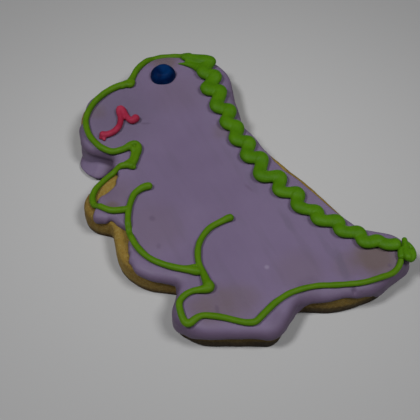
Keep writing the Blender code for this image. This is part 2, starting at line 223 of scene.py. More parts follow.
# -------- piped lines: x, y and half width
LINE_SIDES = 14
LINE_STEP = 0.35
LINE_RISE = 0.76         # height of a line's middle over the icing, against its half width
LINE_FLAT = 0.95         # half height of a line against its half width
LINE_SWELL = 1.06        # all the half widths below are made wider by this
LINE_RIPPLES = [(0.1, 2.6, 30.0)]
LINE_EASE = 3            # steps on each side over which a line's height over the icing is averaged
CURVE_STEPS = 16         # steps between two points, before the path is spaced evenly
CAP_REACH = 0.8          # how far a tube's round end goes past its last point, against its half width
CAP_STEPS = 4
CAP_TIP = 0.02           # square of the cap's size at its very tip, against that of the line
VOXEL = 0.2              # size of the grid that joins the tubes of a piece into one skin
SMOOTH_ROUNDS = 4
HEAD_STROKE = [
    (-14.6, 50.3, 1.15), (-17.6, 51.6, 1.0), (-20.6, 52.2, 0.97), (-26.9, 50.7, 1.0), (-31.3, 45.5, 0.98),
    (-33.3, 40.2, 1.05), (-33.9, 38.0, 1.15), (-35.5, 37.1, 1.06), (-40.3, 34.0, 1.0), (-44.6, 28.2, 0.98),
    (-46.4, 21.4, 0.93), (-44.9, 14.9, 0.94), (-42.0, 10.9, 0.96), (-39.6, 9.3, 0.96), (-37.2, 8.4, 0.96),
    (-35.2, 8.4, 0.96), (-33.3, 9.2, 1.0), (-31.8, 10.5, 1.1), (-30.6, 10.7, 1.2), (-29.7, 9.8, 1.15),
    (-29.5, 8.0, 1.05), (-29.9, 6.2, 1.0), (-30.3, 4.4, 1.0), (-31.0, 2.9, 1.05), (-32.6, 2.5, 1.0),
    (-34.9, 2.1, 0.9), (-36.9, 0.9, 0.88), (-38.7, -0.9, 0.88), (-40.3, -3.2, 0.87), (-41.5, -5.6, 0.9),
    (-42.0, -8.2, 0.92), (-41.5, -10.5, 0.92), (-40.1, -12.2, 0.88), (-36.1, -14.4, 0.88),
    (-32.3, -14.2, 0.96), (-31.0, -13.7, 0.9),
]
HEAD_FILLS = [
    [(-36.4, 35.9, 0.8), (-34.9, 36.7, 1.0), (-33.4, 36.6, 1.0), (-32.8, 38.4, 0.8)],
    [(-30.9, 7.0, 0.8), (-31.0, 5.6, 0.8), (-31.6, 4.3, 0.8), (-32.8, 3.3, 0.8)],
    [(-31.6, 2.3, 1.1), (-30.8, 2.0, 1.1), (-30.4, 1.8, 0.8)],
    [(-31.3, 9.6, 1.1), (-30.8, 8.2, 1.0), (-30.6, 6.6, 0.7)],
]
BELLY_STROKE = [
    (-25.5, -5.7, 1.1), (-27.0, -6.1, 1.1), (-28.7, -7.3, 0.98), (-30.0, -9.2, 0.9), (-31.0, -14.4, 0.88),
    (-30.6, -20.7, 0.88), (-28.4, -26.3, 0.88), (-24.4, -30.8, 0.87), (-19.0, -33.4, 0.86),
    (-13.6, -34.7, 1.05), (-11.7, -35.2, 1.2), (-10.9, -35.3, 1.1),
]
LEG_STROKE = [
    (-2.2, -17.2, 1.07), (-3.7, -17.8, 1.0), (-8.2, -20.9, 0.87), (-10.9, -25.8, 0.85), (-11.2, -31.3, 0.84),
    (-9.7, -36.0, 0.98), (-9.0, -38.1, 1.1), (-8.4, -39.6, 1.35), (-7.8, -40.2, 1.2),
]
FOOT_STROKE = [
    (-7.9, -40.4, 1.2), (-9.1, -40.8, 1.25), (-10.9, -41.0, 0.98), (-12.6, -41.3, 0.86),
    (-14.3, -42.3, 0.86), (-15.6, -43.7, 0.88), (-16.0, -45.5, 0.92), (-15.2, -48.7, 0.95),
    (-14.2, -50.3, 1.05), (-13.2, -50.6, 1.0), (-12.1, -49.9, 0.97), (-11.0, -49.1, 0.9),
    (-9.3, -48.6, 0.84), (-4.9, -49.2, 0.83), (-0.3, -50.4, 0.83), (1.8, -50.7, 0.88), (3.9, -50.3, 0.9),
    (6.4, -47.6, 0.87), (9.5, -44.4, 0.82), (13.9, -41.4, 0.8), (19.8, -39.7, 0.8), (26.6, -39.3, 0.8),
    (33.3, -38.3, 0.8), (39.7, -35.7, 0.82), (42.5, -33.5, 0.83), (43.7, -31.0, 0.84), (43.8, -29.0, 0.84),
]
LEG_FILLS = [
    [(-15.6, -34.0, 0.75), (-13.6, -34.0, 0.8), (-12.2, -33.5, 0.75)],
]
MOUTH_STROKE = [
    (-40.7, 14.5, 1.15), (-39.4, 14.7, 0.97), (-37.8, 15.5, 0.92), (-36.4, 17.2, 0.92), (-35.7, 19.3, 0.92),
    (-35.7, 22.0, 0.93), (-36.2, 24.2, 1.1), (-36.1, 25.5, 1.25), (-35.2, 24.9, 1.1), (-34.2, 23.1, 0.92),
    (-33.2, 21.4, 0.95), (-32.1, 20.5, 1.05), (-31.4, 20.9, 1.2), (-30.9, 21.6, 1.25),
]
MOUTH_FILLS = [
    [(-40.7, 14.6, 0.9), (-41.3, 15.7, 0.5)],
    [(-40.7, 14.4, 0.9), (-41.3, 13.6, 0.5)],
    [(-40.5, 14.3, 0.9), (-40.1, 12.9, 0.5)],
    [(-35.3, 21.9, 0.7), (-34.4, 22.2, 0.8)],
]

# -------- ridge piped down the back
RIDGE_HALF = 2.32        # half width of its line at the head
RIDGE_TAPER = 0.22       # how much of that is lost by the tail
RIDGE_FLAT = 0.7         # half height of its line against its half width
RIDGE_RISE = 1.15        # height of its middle over the icing
RIDGE_EASE = 5
# Where it turns it stands higher and is fatter: how much, its reach, and the share taken off all along.
RIDGE_WAVE = (0.35, 1.5, 0.5)
RIDGE_SWELL = (0.12, 1.8, 0.4)
RIDGE_WIDTH_RIPPLES = [(0.08, 3.0, 40.0)]
RIDGE_HEIGHT_RIPPLES = [(0.15, 3.5, 50.0)]
RIDGE_TURNS = [
    (-8.2, 47.4), (-10.1, 42.1), (-6.5, 40.0), (-8.8, 34.4), (-4.8, 33.2), (-5.9, 26.6), (-2.0, 24.7),
    (-2.9, 19.4), (0.2, 17.5), (-0.1, 12.4), (3.5, 10.9), (3.2, 5.7), (7.2, 4.5), (6.8, -1.8), (12.2, -2.5),
    (12.0, -7.6), (16.9, -8.7), (17.0, -13.3), (21.8, -15.2), (22.4, -18.1), (27.3, -18.8), (28.3, -22.0),
    (32.8, -22.7), (34.2, -25.8), (37.9, -25.4), (40.2, -26.6), (42.8, -26.6),
]
CROWN_FLAT = 0.77
CROWN_RISE = 0.52
CROWN_LIFT = 0.05
CROWN_STROKES = [
    [(-16.6, 50.0, 1.2), (-14.3, 49.2, 1.6), (-11.6, 48.0, 2.0), (-9.3, 47.4, 2.1), (-8.3, 47.2, 2.1)],
    [(-18.4, 47.2, 0.25), (-17.0, 47.0, 0.5), (-15.2, 46.5, 0.9), (-13.2, 45.6, 1.3), (-11.6, 44.3, 1.7)],
    [(-15.6, 48.1, 0.9), (-13.8, 47.4, 1.2), (-11.6, 46.6, 1.4)],
]

# -------- dabs
EYE_PLACE = (-23.25, 41.35)
EYE_RADIUS = 4.0
EYE_HEIGHT = 3.3
EYE_SINK = 0.3           # how far its foot lies inside the icing
EYE_OVAL = (0.035, 0.6)  # how far it is from round, and the turn of that
EYE_LUMPS = 0.02
EYE_DIMPLE = (-0.1, -0.1, math.sqrt(2), 0.2)    # x and y from its middle, radius and depth
EYE_RIM = (0.1, 0.1, 2.3, 0.6, 0.04)            # x and y from its middle, radius, width and height
EYE_SIDES = 72
EYE_RINGS = 30
EDGE_OF_TAIL = (44.6, -28.4)
BLOB_RISE = 0.5
# Strokes of the blob at the tail's tip, each with the height at which it lies over the icing.
BLOB_STROKES = [
    (1.0, [(45.3, -25.0, 0.8), (45.2, -26.4, 0.85), (44.9, -28.6, 1.0), (45.1, -30.4, 1.15),
           (45.5, -31.2, 1.15)]),
    (0.45, [(45.9, -26.0, 0.8), (46.4, -27.2, 1.0), (46.8, -28.8, 1.15), (46.7, -30.4, 1.2),
            (46.0, -31.2, 1.15)]),
    (0.1, [(45.5, -30.4, 1.5), (45.9, -28.8, 1.5), (45.6, -27.2, 1.3)]),
    (0.6, [(43.6, -30.6, 0.9), (43.8, -29.2, 1.0), (44.1, -28.2, 1.0)]),
]
# Dents in the piping: x, y, radius and depth.
DENTS = [
    ("chin_knob", -30.7, 9.7, 0.55, 0.75),
    ("blob_fold", 46.5, -28.0, 0.6, 0.6),
    ("blob_side", 44.3, -26.9, 0.4, 0.5),
]

# -------- colours
DOUGH_BASE = (0.222, 0.142, 0.024)
DOUGH_DEEP = (0.18, 0.109, 0.0165)
DOUGH_PALE = (0.26, 0.188, 0.048)
DOUGH_PORE = (0.096, 0.0504, 0.0106)
# Darker dough for the lower walls: baked browning and scorching, together with painted shade.
BROWNED_AND_SHADE = (0.04, 0.019, 0.004)
BROWNED_AND_SHADE_HEIGHTS = (3.5, 1.6)
SCORCHED_AND_SHADE_HEIGHTS = (4.8, 3.4)
# Stretches of wall that are darker, partly baked browner and partly painted shade: x, y, radius and strength.
BROWNED_AND_SHADED_WALLS = [
    (-2.0, -52.0, 12.0, 0.5), (28.0, -42.0, 11.0, 0.22), (-25.0, -35.0, 9.0, 0.1), (-46.0, -11.0, 7.0, 0.3),
]
SCORCHED_AND_SHADE = (0.012, 0.0075, 0.004)
# Stretches whose foot is darkened, partly scorched on the tray and partly painted shade at the foot of the
# wall: x, y and radius, and below them how strongly.
SCORCHED_AND_SHADED_FEET = [
    (-4.0, -53.0, 14.0), (26.0, -43.0, 13.0), (41.0, -36.0, 7.0), (9.0, -50.0, 6.0),
]
SCORCH_AND_SHADE_STRENGTH = 0.68

ICING_BASE = (0.151, 0.114, 0.193)
ICING_PALE = (0.164, 0.125, 0.21)
ICING_GREY = (0.124, 0.1, 0.153)
ICING_WARM = (0.126, 0.0943, 0.0952)
ICING_BLUE = (0.115, 0.095, 0.145)
# Colour of the painted shade on the icing's walls.
ICING_WALL_SHADE = (0.112, 0.078, 0.133)
ICING_DARK = (0.085, 0.06, 0.1)
WALL_SHADE_HEIGHTS = (9.4, 7.6) # between these heights painted shade darkens the icing's walls, but not on the pool
POOL_SPOT = ((*PUDDLE, 0.5), 5.0, 1.5)
STREAK_TURN = 25         # degrees, of the fine streaks all over
# Patches where the icing is thin and the biscuit shows through: x, y, radius and strength.
THIN_PATCHES = [
    (37.2, -30.4, 6.0, 0.95), (-35.0, -8.0, 5.5, 0.3), (-24.0, -20.0, 8.0, 0.22), (-18.0, 34.0, 8.0, 0.15),
    (-10.6, -46.4, 3.4, 0.35), (-6.7, -45.2, 5.0, 0.5), (-36.2, -12.4, 1.8, 0.8), (-22.9, 48.3, 4.0, 0.8),
    (-4.3, 16.5, 3.0, 0.35), (-43.4, 25.1, 3.0, 0.4), (28.4, -32.6, 3.4, 0.35), (16.2, -34.3, 6.0, 0.25),
    (-0.2, -43.7, 5.0, 0.4),
]
# Bluish streaks where the icing was pushed about, and painted shade on the nape's shoulder:
# x, y, half length, half width, turn in degrees and strength.
STREAKS_AND_NAPE_SHADE = [
    (27.6, -33.0, 6.0, 1.2, 12.0, 0.5), (24.5, -27.5, 5.0, 1.0, 25.0, 0.3),
    # The long one at 1.5, 33.0 is painted shade on the nape's shoulder.
    (13.8, -18.0, 4.5, 1.1, 25.0, 0.35), (1.5, 33.0, 14.0, 3.2, -6.0, 0.95),
    (4.2, -3.5, 5.0, 1.0, 20.0, 0.25),
]
# Small dark smears, and painted shade on stretches of the wall, told in the same way.
SMEARS_AND_SHADE = [
    (-24.3, -16.7, 1.0, 0.8, 30.0, 0.4), (-22.1, -26.4, 0.9, 0.6, 0.0, 0.3),
    # Painted shade: the two in the nick under the foot line, the one on the nape's shoulder, and the broad
    # ones along the tail's underside, the crook, the tail's end and the heel.
    (-6.2, -46.4, 1.3, 0.5, 10.0, 0.45), (30.1, -40.2, 0.6, 0.5, 0.0, 0.7),
    (31.9, -40.7, 0.45, 1.1, 20.0, 0.85), (1.8, 33.0, 9.0, 2.4, -8.0, 0.5),
    (30.0, -41.4, 1.6, 13.0, 6.0, 0.35), (18.0, -41.5, 4.0, 3.0, 0.0, 0.35),
    (40.0, -36.5, 2.0, 6.0, 35.0, 0.3), (9.5, -50.0, 3.0, 2.5, 0.0, 0.3), (40.5, -32.6, 0.6, 0.6, 0.0, 0.6),
    (3.2, -5.5, 1.6, 0.5, 40.0, 0.3), (-27.9, 20.3, 0.4, 1.5, 0.0, 0.45),
]
# The broad greyer patch on the snout, and a bubble: x, y, radius, softness and strength.
SNOUT_PATCH = (-38.0, 24.0, 12.0, 9.0, 0.6)
BUBBLE = (7.3, -33.3, 0.6, 0.4, 0.4)
BUBBLE_PALE = (0.32, 0.28, 0.37)

SPOT_RAGGED = 3.0        # how ragged the edges of spots and ovals are
OVAL_RAGGED = 1.2

# Piped icing: base, pale and deep colour.
GREEN = [(0.064, 0.155, 0.0018), (0.077, 0.172, 0.0027), (0.043, 0.115, 0.001)]
LEAF = [(0.0535, 0.154, 0.0016), (0.066, 0.178, 0.0025), (0.036, 0.112, 0.001)]
PINK = [(0.25, 0.0128, 0.036), (0.32, 0.027, 0.063), (0.18, 0.0065, 0.019)]
BLUE = [(0.0003, 0.0068, 0.042), (0.0009, 0.021, 0.09), (0.0003, 0.0035, 0.022)]

# -------- floor, camera and light
VIEW_TARGET = (-8.0, -6.4, 0.0)
VIEW_HEIGHT = math.radians(52)
VIEW_DISTANCE = 243.8
LENS = 70.0
SENSOR = 36.0
NEAREST = 0.01           # in metres, as the table and the lamps are
TABLE_HALF = 1.5
# The table's colours: dimmer at the edges, and paler in a painted pool of light in the middle.
TABLE_DIM_EDGE = (0.303, 0.303, 0.305)
TABLE_LIT_MIDDLE = (0.435, 0.435, 0.437)
LIGHT_POOL = ((-6.0, 10.0, 0.0), 75.0, 65.0)    # place, radius and softness of the pool of light painted on the table's middle
ROOM_LIGHT = 0.04
# Lamps: name, place, diameter and power.
LAMPS = [
    ("left_lamp", (-0.38, -0.19, 0.78), 0.2, 4.25),
    ("right_lamp", (0.38, -0.19, 0.8), 0.28, 3.85),
]


# ======== helpers
def clamped(value):
    return min(max(value, 0.0), 1.0)


def ease(value):
    """Goes smoothly from 0 to 1 as the value does."""
    share = clamped(value)
    return share * share * (3 - 2 * share)


def bell(place, x, y, radius):
    """1 at x and y, and close to 0 past twice the radius."""
    return math.exp(-((place[0] - x) ** 2 + (place[1] - y) ** 2) / radius ** 2)


def ripple(place, size, offset):
    """Smooth noise between about -1 and 1 with waves of the given size."""
    z = place[2] if len(place) > 2 else 0.0
    return noise.noise(Vector((place[0] / size + offset, place[1] / size - offset, z / size + 0.37)))


def ripples(place, layers):
    return sum(strength * ripple(place, size, offset) for strength, size, offset in layers)


# ======== outline
def cutter_outline():
    """Points round the cutter with their outward normals: straight stretches joined by round bends."""
    places = [Vector(corner[1:3]) for corner in CUTTER]
    count = len(places)
    bends = []
    for i, corner in enumerate(CUTTER):
        here = places[i]
        back = (places[i - 1] - here).normalized()
        ahead = (places[(i + 1) % count] - here).normalized()
        half = back.angle(ahead) / 2
        centre = here + (back + ahead).normalized() * (corner[3] / math.sin(half))
        cut = corner[3] / math.tan(half)
        start = here + back * cut - centre
        turn = start.angle_signed(here + ahead * cut - centre)
        bends.append((centre, start, -turn))
    samples = []
    for i, (centre, start, turn) in enumerate(bends):
        steps = math.ceil(abs(turn) * start.length / OUTLINE_STEP)
        outward = 1 if turn < 0 else -1
        for k in range(steps + 1):
            angle = turn * k / steps
            arm = Vector((start.x * math.cos(angle) - start.y * math.sin(angle),
                          start.x * math.sin(angle) + start.y * math.cos(angle)))
            samples.append((centre + arm, arm.normalized() * outward))
        last, normal = samples[-1]
        next_centre, next_start, _ = bends[(i + 1) % count]
        straight = next_centre + next_start - last
        pieces = max(1, round(straight.length / OUTLINE_STEP))
        for k in range(1, pieces):
            samples.append((last + straight * (k / pieces), normal))
    return samples


def runs_round(samples):
    """The icing's run at every point of the outline, eased between the named places, with a little wobble."""
    lengths = [0.0]
    for (a, _), (b, _) in zip(samples, samples[1:] + samples[:1]):
        lengths.append(lengths[-1] + (b - a).length)
    total = lengths.pop()
    stops = []
    for _, x, y, run in RUN:
        nearest = min(range(len(samples)), key=lambda i: (samples[i][0] - Vector((x, y))).length)
        stops.append((lengths[nearest], run))
    stops.sort()
    stops = [(stops[-1][0] - total, stops[-1][1])] + stops + [(stops[0][0] + total, stops[0][1])]
    runs = []
    for length, (point, _) in zip(lengths, samples):
        for (a, run_a), (b, run_b) in zip(stops, stops[1:]):
            if a <= length <= b:
                run = run_a + (run_b - run_a) * ease((length - a) / max(b - a, 1e-6))
                runs.append(min(run + ripples(point, RUN_RIPPLES), FULL_RUN))
                break
    return runs


def strayed(samples):
    """The baked edge: the cutter's line with a slight wobble."""
    return [(point + normal * ripples(point, EDGE_RIPPLES), normal) for point, normal in samples]


def on_dough(point, normal, run, lift):
    """A point over the dough: run is its distance down the skin from the start of the top rounding."""
    if run < 0:
        sideways, height, lean = run - TOP_ROUND, DOUGH_HEIGHT, 0.0
    elif run < ROUND_LENGTH:
        lean = run / TOP_ROUND
        sideways = TOP_ROUND * (math.sin(lean) - 1)
        height = DOUGH_HEIGHT + TOP_ROUND * (math.cos(lean) - 1)
    else:
        sideways, height, lean = 0.0, DOUGH_HEIGHT - TOP_ROUND - (run - ROUND_LENGTH), math.pi / 2
    place = point + normal * (sideways + lift * math.sin(lean))
    return Vector((place.x, place.y, height + lift * math.cos(lean)))


# ======== meshes
ROW_STEP = 0.87          # distance of a grid's rows against its spacing
CLEARANCE = 0.55         # how far its points keep from the border, against its spacing
CHUNK = 2000             # places that are compared with an outline at once


class Skin:
    """Collects the points and faces of one mesh, in millimetres."""

    def __init__(self):
        self.points = []
        self.faces = []

    def ring(self, points):
        start = len(self.points)
        self.points.extend(points)
        return list(range(start, start + len(points)))

    def bridge(self, lower, upper):
        """Joins two rings that run clockwise, seen from the upper one's side."""
        count = len(lower)
        for i in range(count):
            j = (i + 1) % count
            self.faces.append((lower[j], lower[i], upper[i], upper[j]))

    def grow(self, last, points):
        """Adds a ring, joined to the last one, and gives it back."""
        ring = self.ring(points)
        self.bridge(last, ring)
        return ring

    def fill(self, ring, grid_step, height_at, keep_at=None, flip=False):
        """Fills a ring with triangles over a grid whose heights come from a function of x and y."""
        border = [Vector(self.points[i][:2]) for i in ring]
        outline = np.array([(p.x, p.y) for p in border])
        low = outline.min(axis=0)
        high = outline.max(axis=0)
        inside = []
        for row, y in enumerate(np.arange(low[1], high[1], grid_step * ROW_STEP)):
            for x in np.arange(low[0] + (row % 2) * grid_step / 2, high[0], grid_step):
                inside.append((x, y))
        inside = np.array(inside)
        inside = inside[within(inside, outline)]
        apart = nearest_distance(inside, outline)
        clear = apart > grid_step * CLEARANCE
        inside, apart = inside[clear], apart[clear]
        if keep_at is not None:
            inside = np.array([p for i, p in enumerate(inside) if keep_at(apart[i], i)])
        places = border + [Vector((float(x), float(y))) for x, y in inside]
        count = len(border)
        edges = [(i, (i + 1) % count) for i in range(count)]
        flat, _, triangles, origins, _, _ = delaunay_2d_cdt(places, edges, [], 1, 1e-5)
        index = []
        for i, origin in enumerate(origins):
            if origin and origin[0] < count:
                index.append(ring[origin[0]])
            else:
                self.points.append(Vector((flat[i].x, flat[i].y, height_at(flat[i].x, flat[i].y))))
                index.append(len(self.points) - 1)
        for triangle in triangles:
            corners = [index[i] for i in triangle]
            self.faces.append(tuple(reversed(corners)) if flip else tuple(corners))


def within(places, outline):
    """Which places lie inside a closed outline."""
    x, y = places[:, 0:1], places[:, 1:2]
    ax, ay = outline[:, 0], outline[:, 1]
    bx, by = np.roll(ax, -1), np.roll(ay, -1)
    inside = np.zeros(len(places), dtype=bool)
    for start in range(0, len(places), CHUNK):
        part = slice(start, start + CHUNK)
        crosses = (ay > y[part]) != (by > y[part])
        slope = (bx - ax) / np.where(by == ay, 1e-9, by - ay)
        left = x[part] < slope * (y[part] - ay) + ax
        inside[part] = (crosses & left).sum(axis=1) % 2 == 1
    return inside


def nearest_distance(places, outline):
    """Distance from each place to the nearest point of an outline."""
    found = np.empty(len(places))
    for start in range(0, len(places), CHUNK):
        part = slice(start, start + CHUNK)
        gap = np.linalg.norm(places[part, None, :] - outline[None, :, :], axis=2)
        found[part] = gap.min(axis=1)
    return found


def make_piece(name, points, faces, material, slot, *nodes):
    """An object in metres that rides on the cookie and stands for some of its solids."""
    mesh = bpy.data.meshes.new(name)
    mesh.from_pydata([(p[0] * MM, p[1] * MM, p[2] * MM) for p in points], [], faces)
    mesh.materials.append(material)
    mesh.shade_smooth()
    mesh.update()
    piece = bpy.data.objects.new(name, mesh)
    bpy.context.scene.collection.objects.link(piece)
    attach(piece, "root")
    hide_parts(*nodes)
    return piece


# ======== biscuit
def crumb(place):
    """Relief of the baked dough: broad swells, crumbs and a few pits."""
    depth, size, offset = PITS
    pit = depth * max(0.0, ripple(place, size, offset) - PIT_LEVEL)
    return CRUMB * (ripples(place, CRUMB_RIPPLES) - pit)


def make_biscuit(samples, material):
    skin = Skin()
    inset = FOOT_ROUND * FOOT_INSET
    last = skin.ring([Vector((*(point - normal * inset), 0.0)) for point, normal in samples])
    skin.fill(last, UNDERSIDE_GRID, lambda x, y: 0.0, flip=True)
    levels = []
    for k in range(1, FOOT_RINGS + 1):
        lean = math.pi / 2 * k / FOOT_RINGS
        levels.append((-FOOT_ROUND * (1 - math.sin(lean)), FOOT_ROUND * (1 - math.cos(lean))))
    wall = DOUGH_HEIGHT - TOP_ROUND - FOOT_ROUND
    for k in range(1, WALL_RINGS):
        share = k / WALL_RINGS
        levels.append((WALL_SWELL * math.sin(math.pi * share), FOOT_ROUND + wall * share))
    for sideways, height in levels:
        ring = []
        for point, normal in samples:
            place = point + normal * sideways
            shift = normal * (crumb((place.x, place.y, height)) * min(1.0, height))
            ring.append(Vector((place.x + shift.x, place.y + shift.y, height)))
        last = skin.grow(last, ring)
    reach = ROUND_LENGTH + INNER_RING - TOP_ROUND
    for k in range(TOP_RINGS + 1):
        run = ROUND_LENGTH - reach * k / TOP_RINGS
        ring = []
        for point, normal in samples:
            spot = on_dough(point, normal, run, 0.0)
            ring.append(on_dough(point, normal, run, crumb(spot)))
        last = skin.grow(last, ring)
    skin.fill(last, DOUGH_GRID, lambda x, y: DOUGH_HEIGHT + crumb((x, y, DOUGH_HEIGHT)),
              keep_at=lambda apart, i: apart < DOUGH_BORDER or i % DOUGH_SPARSE == 0)
    return make_piece("biscuit_baked", skin.points, skin.faces, material, "dough", "biscuit")


# ======== icing
def relief(x, y):
    """Low relief of the flooded icing: slow swells, and streaks that lean down towards the tail."""
    cos, sin = STREAK_LEAN
    turned = (x * cos + y * sin, (y * cos - x * sin) / STREAK_LENGTH)
    return ripples((x, y), TOP_RIPPLES) + ripples(turned, STREAK_RIPPLES)


def icing_depth(place, where, run):
    """Thickness of the icing: deep on the top, thin over the edge, thicker where it has run and pooled."""
    share = ease((where + THINS_BEFORE) / (THINS_BEFORE + ROUND_LENGTH + THINS_PAST))
    depth = ICING_TOP + (ICING_WALL - ICING_TOP) * share
    if run > DRIP_RUN:
        drip = math.exp(-((where - run + DRIP_BEHIND) / DRIP_WIDTH) ** 2) * min(1.0, run / DRIP_RUN - 1.0)
        depth += drip * (DRIP_DEPTH + ripples(place, DRIP_RIPPLES))
    on_wall = clamped(where / ROUND_LENGTH)
    depth += on_wall * ripples(place, WALL_RIPPLES)
    for _, x, y, radius, drop in SLUMPS:
        depth -= drop * clamped(where / SLUMP_WIDTH + 1.0) ** 2 * bell(place, x, y, radius)
    for _, x, y, radius, change in WALL_CHANGES:
        depth += change * on_wall * bell(place, x, y, radius)
    for _, x, y, radius, drop in DIPS:
        depth -= drop * bell(place, x, y, radius)
    under = math.exp(-(math.dist(place[:2], THROAT) / THROAT_RADIUS) ** 4)
    depth -= THINNING * under * ease((where - THINNING_START) / (THINNING_END - THINNING_START))
    near = ease((PUDDLE_REACH - math.dist(place[:2], PUDDLE)) / PUDDLE_FADE)
    top = PUDDLE_TOP + PUDDLE_SLOPE * max(0.0, THROAT[0] - place[0])
    low = clamped((where - top) / PUDDLE_RISE)
    return depth + PUDDLE_BULGE * near * low * (2 - low)


def make_icing(samples, runs, material):
    skin = Skin()
    outline = np.array([(point.x, point.y) for point, _ in samples])

    def beads(run):
        return BEAD_ON_TOP + (BEAD - BEAD_ON_TOP) * clamped((run / BEAD_TURN + 1.0) / 2)

    last = None
    for k in range(RINGS_UNDER, -1, -1):
        ring = []
        for (point, normal), run in zip(samples, runs):
            inner = min(run, 0.0) - UNDER_REACH
            ring.append(on_dough(point, normal, run + (inner - run) * k / RINGS_UNDER, -SINK))
        if last is None:
            last = skin.ring(ring)
            skin.fill(last, UNDERSIDE_GRID, lambda x, y: DOUGH_HEIGHT - SINK, flip=True)
        else:
            last = skin.grow(last, ring)
    for k in range(1, RINGS_BEAD + 1):
        angle = math.pi / 2 * k / RINGS_BEAD
        ring = []
        for (point, normal), run in zip(samples, runs):
            where = run - beads(run) * (1 - math.cos(angle))
            depth = icing_depth(on_dough(point, normal, where, 0.0), where, run)
            ring.append(on_dough(point, normal, where, -SINK + (depth + SINK) * math.sin(angle)))
        last = skin.grow(last, ring)
    for k in range(1, RINGS_OVER + 1):
        ring = []
        for (point, normal), run in zip(samples, runs):
            first = run - beads(run)
            inner = min(first, 0.0) - OVER_REACH
            where = first + (inner - first) * k / RINGS_OVER
            depth = icing_depth(on_dough(point, normal, where, 0.0), where, run)
            spot = on_dough(point, normal, where, depth)
            fade = clamped((RELIEF_END - where) / RELIEF_FADE)
            ring.append(Vector((spot.x, spot.y, spot.z + relief(spot.x, spot.y) * fade)))
        last = skin.grow(last, ring)

    def top(x, y):
        gap = float(np.sqrt(((outline - (x, y)) ** 2).sum(axis=1).min()))
        return DOUGH_HEIGHT + icing_depth((x, y), TOP_ROUND - gap, 0.0) + relief(x, y)

    skin.fill(last, ICING_GRID, top)
    return make_piece("icing_flood", skin.points, skin.faces, material, "lilac_icing", "icing")


# ======== piping
def lengths_along(path):
    steps = np.linalg.norm(np.diff(path[:, :2], axis=0), axis=1)
    return np.concatenate([[0.0], np.cumsum(steps)])


def smooth_path(points):
    """Evenly spaced points along a smooth curve through the given ones, with x, y and half width each."""
    points = [np.array(point) for point in points]
    points = [points[0] * 2 - points[1]] + points + [points[-1] * 2 - points[-2]]
    fine = []
    for a, b, c, d in zip(points, points[1:], points[2:], points[3:]):
        for k in range(CURVE_STEPS):
            t = k / CURVE_STEPS
            fine.append(0.5 * (2 * b + (c - a) * t + (2 * a - 5 * b + 4 * c - d) * t ** 2
                               + (3 * b - a - 3 * c + d) * t ** 3))
    fine = np.array(fine + [points[-2]])
    lengths = lengths_along(fine)
    count = max(2, round(lengths[-1] / LINE_STEP))
    wanted = np.linspace(0.0, lengths[-1], count + 1)
    return np.stack([np.interp(wanted, lengths, column) for column in fine.T], axis=1)


def running_mean(values, reach):
    padded = np.pad(np.array(values), reach, mode="edge")
    return np.convolve(padded, np.ones(2 * reach + 1) / (2 * reach + 1), mode="valid")


def add_tube(skin, path, heights, flat):
    """A closed tube with round ends along a path; flat is its half height against its half width."""
    caps = []
    for end, inner in ((0, 1), (-1, -2)):
        beyond = path[end] - path[inner]
        beyond = path[end] + beyond / np.linalg.norm(beyond[:2]) * path[end][2] * CAP_REACH
        beyond[2] = path[end][2]
        caps.append(np.linspace(beyond, path[end], CAP_STEPS, endpoint=False))
    path = np.concatenate([caps[0], path, caps[1][::-1]])
    heights = np.pad(heights, CAP_STEPS, mode="edge")
    lengths = lengths_along(path)
    rings = []
    for i, (x, y, half) in enumerate(path):
        ahead = path[min(i + 1, len(path) - 1)][:2] - path[max(i - 1, 0)][:2]
        side = np.array((-ahead[1], ahead[0])) / max(np.linalg.norm(ahead), 1e-9)
        to_end = min(lengths[i], lengths[-1] - lengths[i]) / max(half, 0.1)
        size = half * math.sqrt(max(1 - (1 - min(to_end, 1.0)) ** 2, CAP_TIP))
        ring = []
        for k in range(LINE_SIDES):
            angle = 2 * math.pi * k / LINE_SIDES
            across = size * math.cos(angle)
            rise = size * flat * math.sin(angle)
            ring.append(Vector((x + side[0] * across, y + side[1] * across, heights[i] + rise)))
        rings.append(skin.ring(ring))
    for lower, upper in zip(rings, rings[1:]):
        skin.bridge(upper, lower)
    skin.faces.append(tuple(rings[0]))
    skin.faces.append(tuple(reversed(rings[-1])))


def add_stroke(skin, points, surface, flat=LINE_FLAT, rise=LINE_RISE, lift=0.0, layers=LINE_RIPPLES):
    """A line of piped icing that lies on the surface."""
    path = smooth_path(points)
    path[:, 2] *= [LINE_SWELL + ripples((x, y), layers) for x, y, _ in path]
    heights = running_mean([surface(x, y) for x, y, _ in path], LINE_EASE) + path[:, 2] * rise + lift
    add_tube(skin, path, heights, flat)


def fuse(skin):
    """One smooth skin round all the tubes of a piece."""
    mesh = bpy.data.meshes.new("tubes")
    mesh.from_pydata(skin.points, [], skin.faces)
    tubes = bpy.data.objects.new("tubes", mesh)
    bpy.context.scene.collection.objects.link(tubes)
    remesh = tubes.modifiers.new("fuse", "REMESH")
    remesh.mode = "VOXEL"
    remesh.voxel_size = VOXEL
    smooth = tubes.modifiers.new("soften", "SMOOTH")
    smooth.factor = 0.5
    smooth.iterations = SMOOTH_ROUNDS
    bpy.context.view_layer.update()
    done = tubes.evaluated_get(bpy.context.evaluated_depsgraph_get())
    result = bpy.data.meshes.new_from_object(done)
    points = [dented(vertex.co) for vertex in result.vertices]
    faces = [tuple(face.vertices) for face in result.polygons]
    bpy.data.objects.remove(tubes, do_unlink=True)
    bpy.data.meshes.remove(mesh)
    bpy.data.meshes.remove(result)
    return points, faces


def dented(point):
    drop = sum(depth * bell(point, x, y, radius) for _, x, y, radius, depth in DENTS)
    return Vector((point.x, point.y, point.z - drop))


